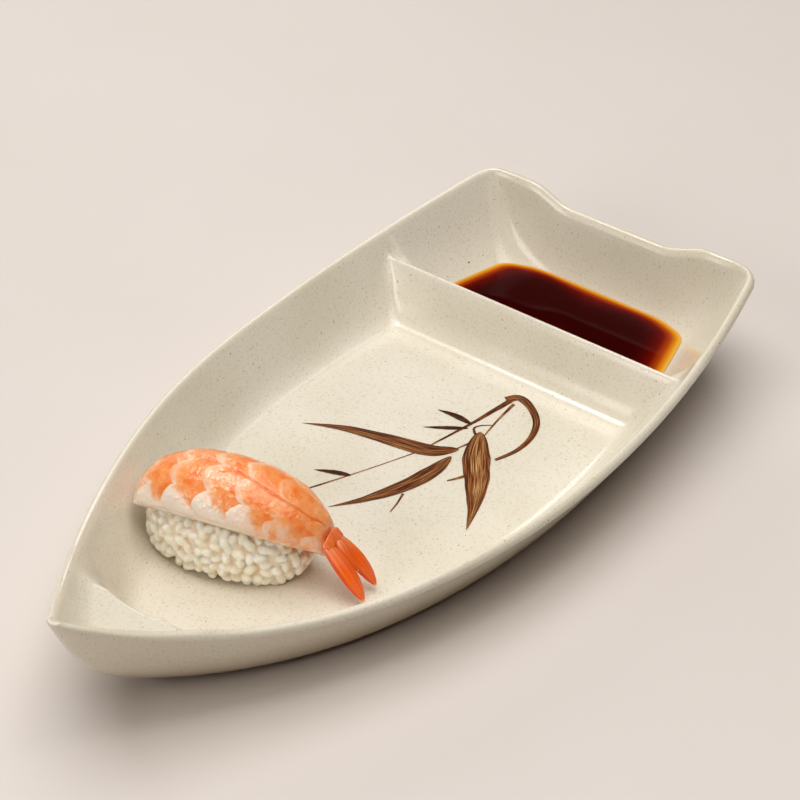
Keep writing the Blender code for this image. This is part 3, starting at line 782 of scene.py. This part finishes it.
flesh, tree, shader = start_material("boiled_shrimp")
place = object_place(tree)
paleness = attribute(tree, "pale")
lower = attribute(tree, "side")
slit = attribute(tree, "slit")
blotch = add_node(tree, "ShaderNodeTexNoise", {"Vector": place, "Scale": 300, "Detail": 5, "Roughness": 0.6})
ragged = multiply(tree, subtract(tree, blotch.outputs["Fac"], 0.5), 1.5)
blushed = add_node(tree, "ShaderNodeMath", {0: paleness, 1: ragged}, operation="ADD").outputs[0]
bleached = step_between(tree, blushed, 0.22, 0.74)
pale = blend_colour(tree, lower, srgb(254, 192, 150), srgb(255, 235, 217))
warm = blend_colour(tree, step_between(tree, blushed, 0.25, -0.35), srgb(255, 164, 98), srgb(251, 122, 46))
colour = blend_colour(tree, bleached, warm, pale)
colour = blend_colour(tree, multiply(tree, slit, 0.55), colour, srgb(226, 92, 34))
fine = specks(tree, place, 520, 0.20, 0.22)
ruddy = multiply(tree, fine, multiply(tree, subtract(tree, 1, bleached), 0.45))
colour = blend_colour(tree, ruddy, colour, srgb(222, 84, 24))
tree.links.new(colour, shader.inputs["Base Color"])
shader.inputs["Roughness"].default_value = 0.09
shader.inputs["Specular IOR Level"].default_value = 0.45
shader.inputs["Subsurface Weight"].default_value = 0.3
shader.inputs["Subsurface Radius"].default_value = (1.0, 0.45, 0.25)
shader.inputs["Subsurface Scale"].default_value = 0.0016
wet = noise_value(tree, place, 700, 2)
skin = add_node(tree, "ShaderNodeBump", {"Height": wet, "Strength": 0.9, "Distance": 0.00040})
tree.links.new(skin.outputs[0], shader.inputs["Normal"])

back = finish_piece(bm, "shrimp_back", flesh)
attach(back, "shrimp")
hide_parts("shrimp_flesh")

# The tail keeps its shell: a short collar, two broad blades that fold down to the floor, and a narrow
# spike between them. It is thin, glossy and half clear, with ribs that run from root to tip.
COLLAR_LENGTH = 0.0026
COLLAR_WIDTH = 0.0090
COLLAR_HEIGHT = 0.0042
COLLAR_DROP = 0.0024
BLADE_REACH = 0.0115
BLADE_WIDTH = 0.0058
BLADE_THICKNESS = 0.0018
BLADE_LIFT = 0.0006
BLADE_SPREAD = 0.0032
BLADE_ARCH = 0.0010
BLADE_KEEL = 0.0009
BLADE_RIB = 0.00025
BLADE_ROOT = Vector((-0.0036, 0.0023, 0.0020))
BLADE_TURN = math.radians(-16)
BLADE_SPLAY = math.radians(3)
COLLAR_BELOW_TOP = 0.0008
WAIST_AHEAD = 0.0028
WAIST_BELOW = 0.0056
SPIKE_LENGTH = 0.0105
SPIKE_HALF_WIDTH = 0.0017
SPIKE_HALF_HEIGHT = 0.0012
SPIKE_ROOT = Vector((-0.0004, 0, 0.0020))
SPIKE_DROP = math.atan2(0.0068, 0.0075)

shell, tree, shader = start_material("shrimp_tail_shell")
length_share = attribute(tree, "along")
across_share = attribute(tree, "across")
edge_share = attribute(tree, "edge")
lengths = multiply(tree, length_share, 0.7)
ribs = add_node(tree, "ShaderNodeCombineXYZ", {0: lengths, 1: multiply(tree, across_share, 9)}).outputs[0]
veins = noise_value(tree, ribs, 1.5, 3)
rooted = step_between(tree, length_share, 0.0, 0.5)
colour = blend_colour(tree, rooted, srgb(246, 150, 90), srgb(244, 104, 18))
colour = blend_colour(tree, step_between(tree, veins, 0.48, 0.68), colour, srgb(222, 72, 10))
colour = blend_colour(tree, step_between(tree, veins, 0.42, 0.30), colour, srgb(252, 150, 70))
margin = multiply(tree, step_between(tree, edge_share, 0.70, 1.0), 0.75)
midrib = multiply(tree, step_between(tree, edge_share, 0.16, 0.02), 0.55)
colour = blend_colour(tree, margin, colour, srgb(214, 62, 10))
colour = blend_colour(tree, midrib, colour, srgb(220, 72, 12))
colour = blend_colour(tree, step_between(tree, length_share, 0.95, 1.0), colour, srgb(252, 206, 172))
tree.links.new(colour, shader.inputs["Base Color"])
shader.inputs["Roughness"].default_value = 0.14
shader.inputs["Subsurface Weight"].default_value = 0.15
shader.inputs["Subsurface Radius"].default_value = (1.0, 0.35, 0.12)
shader.inputs["Subsurface Scale"].default_value = 0.0010
relief = add_node(tree, "ShaderNodeBump", {"Height": veins, "Strength": 0.6, "Distance": 0.0004})
tree.links.new(relief.outputs[0], shader.inputs["Normal"])

lengthwise = Matrix.Rotation(math.pi / 2, 4, "Y")
flesh_end = flesh_point(FLESH_TAIL, 0, 1)
waist = Vector((flesh_end.x + WAIST_AHEAD, 0, flesh_end.z - WAIST_BELOW))

bm = bmesh.new()
along_layer = bm.verts.layers.float.new("along")
across_layer = bm.verts.layers.float.new("across")
edge_layer = bm.verts.layers.float.new("edge")
bmesh.ops.create_uvsphere(bm, u_segments=40, v_segments=28, radius=1, matrix=lengthwise)
for vert in bm.verts:
    share = (vert.co.x + 1) / 2
    ring = math.hypot(vert.co.y, vert.co.z)
    barrel = (1 - abs(vert.co.x) ** 5) ** 0.2 / max(ring, 0.001)
    vert[along_layer] = 0.15 + 0.25 * share
    vert[across_layer] = vert.co.y
    vert[edge_layer] = 0.5
    vert.co = (
        flesh_end.x + FLESH_GAP + share * COLLAR_LENGTH,
        vert.co.y * barrel * COLLAR_WIDTH / 2 * (1 - 0.08 * share),
        flesh_end.z - COLLAR_BELOW_TOP - COLLAR_HEIGHT / 2 - share * COLLAR_DROP
        + vert.co.z * barrel * COLLAR_HEIGHT / 2 * (1 - 0.25 * share),
    )
made = bmesh.ops.create_uvsphere(bm, u_segments=20, v_segments=24, radius=1, matrix=lengthwise)
for vert in made["verts"]:
    share = (vert.co.x + 1) / 2
    vert[along_layer] = share
    vert[across_layer] = vert.co.y
    vert[edge_layer] = abs(vert.co.y)
    slim = 1.1 - 0.75 * share
    vert.co = (
        share * SPIKE_LENGTH,
        vert.co.y * SPIKE_HALF_WIDTH * slim,
        vert.co.z * SPIKE_HALF_HEIGHT * slim,
    )
spike_turn = Matrix.Rotation(BLADE_TURN, 4, "Z") @ Matrix.Rotation(SPIKE_DROP, 4, "Y")
spike_place = Matrix.Translation(waist + SPIKE_ROOT) @ spike_turn
bmesh.ops.transform(bm, matrix=spike_place, verts=made["verts"])
bmesh.ops.transform(bm, matrix=NIGIRI, verts=bm.verts)
collar = finish_piece(bm, "tail_collar", shell)
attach(collar, "shrimp")
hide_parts("tail_shell")


def blade_breadth(share):
    """Breadth of a tail blade as a share of its widest: a narrow root, a full middle and a pointed tip."""
    if share < 0.5:
        opening = 1 - (1 - min(share / 0.06, 1)) ** 2 * 0.6
        return (0.55 + 0.45 * math.sin(math.pi * share)) * opening
    return max(math.cos(math.pi * (share - 0.5)), 0) ** 0.62


floor_reach = Matrix.Rotation(BLADE_TURN, 4, "Z") @ Vector((BLADE_REACH, 0, 0))
blade_foot = FOOD_BASE + BLADE_LIFT + BLADE_THICKNESS / 2
for name, node, hand in (("tail_blade_near", "tail_lobe_near", -1), ("tail_blade_far", "tail_lobe_far", 1)):
    root = waist + Vector((BLADE_ROOT.x, hand * BLADE_ROOT.y, BLADE_ROOT.z))
    splayed = Matrix.Rotation(hand * BLADE_SPLAY, 4, "Z") @ floor_reach
    tip = waist + splayed + Vector((0, hand * BLADE_SPREAD, 0))
    tip.z = blade_foot
    span = tip - root
    bm = bmesh.new()
    along_layer = bm.verts.layers.float.new("along")
    across_layer = bm.verts.layers.float.new("across")
    edge_layer = bm.verts.layers.float.new("edge")
    bmesh.ops.create_uvsphere(bm, u_segments=64, v_segments=48, radius=1, matrix=lengthwise)
    for vert in bm.verts:
        share = (vert.co.x + 1) / 2
        ring = max(math.hypot(vert.co.y, vert.co.z), 0.001)
        breadth = blade_breadth(share)
        flat = vert.co.y / ring
        crown = vert.co.z / ring
        rib = BLADE_RIB * math.cos(flat * 8) * max(crown, 0) * math.sin(math.pi * share)
        keel = BLADE_KEEL * (1 - flat * flat) * breadth + BLADE_ARCH * math.sin(math.pi * share)
        vert[along_layer] = share
        vert[across_layer] = flat + hand * 2
        vert[edge_layer] = abs(flat)
        vert.co = (
            share * span.length,
            flat * breadth * BLADE_WIDTH / 2,
            crown * BLADE_THICKNESS / 2 * min(breadth * 1.4, 1) + keel + rib,
        )
    place = Matrix.Translation(root) @ Matrix.Rotation(math.atan2(span.y, span.x), 4, "Z")
    place = place @ Matrix.Rotation(math.atan2(-span.z, math.hypot(span.x, span.y)), 4, "Y")
    bmesh.ops.transform(bm, matrix=NIGIRI @ place, verts=bm.verts)
    blade = finish_piece(bm, name, shell)
    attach(blade, "shrimp")
    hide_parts(node)

# The dish stands on a plain pale table under soft studio light: a large panel overhead and a little behind,
# a low panel behind to the left, two weak fills in front, and a small lamp that only makes highlights.
TABLE_HALF = 4
VIEW_TARGET = Vector((-0.0436, -0.0225, 0))
VIEW_AZIMUTH = math.radians(127.77)
VIEW_ELEVATION = math.radians(36.81)
VIEW_DISTANCE = 0.7859
VIEW_ANGLE = math.radians(18)
LOW_PANEL_SHIFT = Vector((-0.095, -0.04, 0.008))

table_material, tree, shader = start_material("pale_table")
place = object_place(tree)
cloud = noise_value(tree, place, 9, 4)
colour = blend_colour(tree, cloud, srgb(214, 204, 195), srgb(220, 212, 205))
tree.links.new(colour, shader.inputs["Base Color"])
shader.inputs["Roughness"].default_value = 0.6
bm = bmesh.new()
bmesh.ops.create_grid(bm, x_segments=1, y_segments=1, size=TABLE_HALF)
table = finish_piece(bm, "table_top", table_material)

toward_camera = Vector((
    math.sin(VIEW_AZIMUTH) * math.cos(VIEW_ELEVATION),
    -math.cos(VIEW_AZIMUTH) * math.cos(VIEW_ELEVATION),
    math.sin(VIEW_ELEVATION),
))
camera = bpy.data.objects.new("camera", bpy.data.cameras.new("camera"))
camera.data.angle = VIEW_ANGLE
camera.location = VIEW_TARGET + toward_camera * VIEW_DISTANCE
camera.rotation_euler = (-toward_camera).to_track_quat("-Z", "Y").to_euler()
bpy.context.scene.collection.objects.link(camera)
bpy.context.scene.camera = camera


def hang_lamp(name, turn, rise, distance, width, height, power, colour):
    """A soft panel; turn and rise are degrees, turn from straight behind the dish to the camera's left."""
    away = Vector((-toward_camera.x, -toward_camera.y, 0)).normalized()
    heading = Matrix.Rotation(math.radians(turn), 4, "Z") @ away
    reach = heading * math.cos(math.radians(rise)) + Vector((0, 0, math.sin(math.radians(rise))))
    panel = bpy.data.lights.new(name, "AREA")
    panel.shape = "RECTANGLE"
    panel.size = width
    panel.size_y = height
    panel.energy = power
    panel.color = colour
    lamp = bpy.data.objects.new(name, panel)
    lamp.location = reach * distance
    lamp.rotation_euler = (-reach).to_track_quat("-Z", "Y").to_euler()
    bpy.context.scene.collection.objects.link(lamp)
    return lamp


hang_lamp("overhead_panel", 20, 78, 1.3, 1.3, 1.2, 14.2, (1.0, 0.985, 0.98))
low_panel = hang_lamp("low_back_panel", 16, 24, 2.0, 1.1, 0.7, 8, (1.0, 0.98, 0.95))
low_panel.location += LOW_PANEL_SHIFT
hang_lamp("right_fill", 215, 70, 1.5, 1.2, 1.0, 7.5, (1.0, 0.97, 0.95))
hang_lamp("bow_fill", 128, 30, 1.6, 0.8, 0.5, 6, (1.0, 0.96, 0.93))
glint = hang_lamp("highlight_lamp", 50, 71, 1.3, 0.50, 0.35, 6, (1.0, 0.99, 0.97))
glint.visible_diffuse = False
world = bpy.data.worlds.new("studio_surround")
world.use_nodes = True
world.node_tree.nodes["Background"].inputs["Color"].default_value = (1.0, 0.80, 0.62, 1)
world.node_tree.nodes["Background"].inputs["Strength"].default_value = 0.02
bpy.context.scene.world = world
bpy.context.scene.view_settings.view_transform = "Standard"
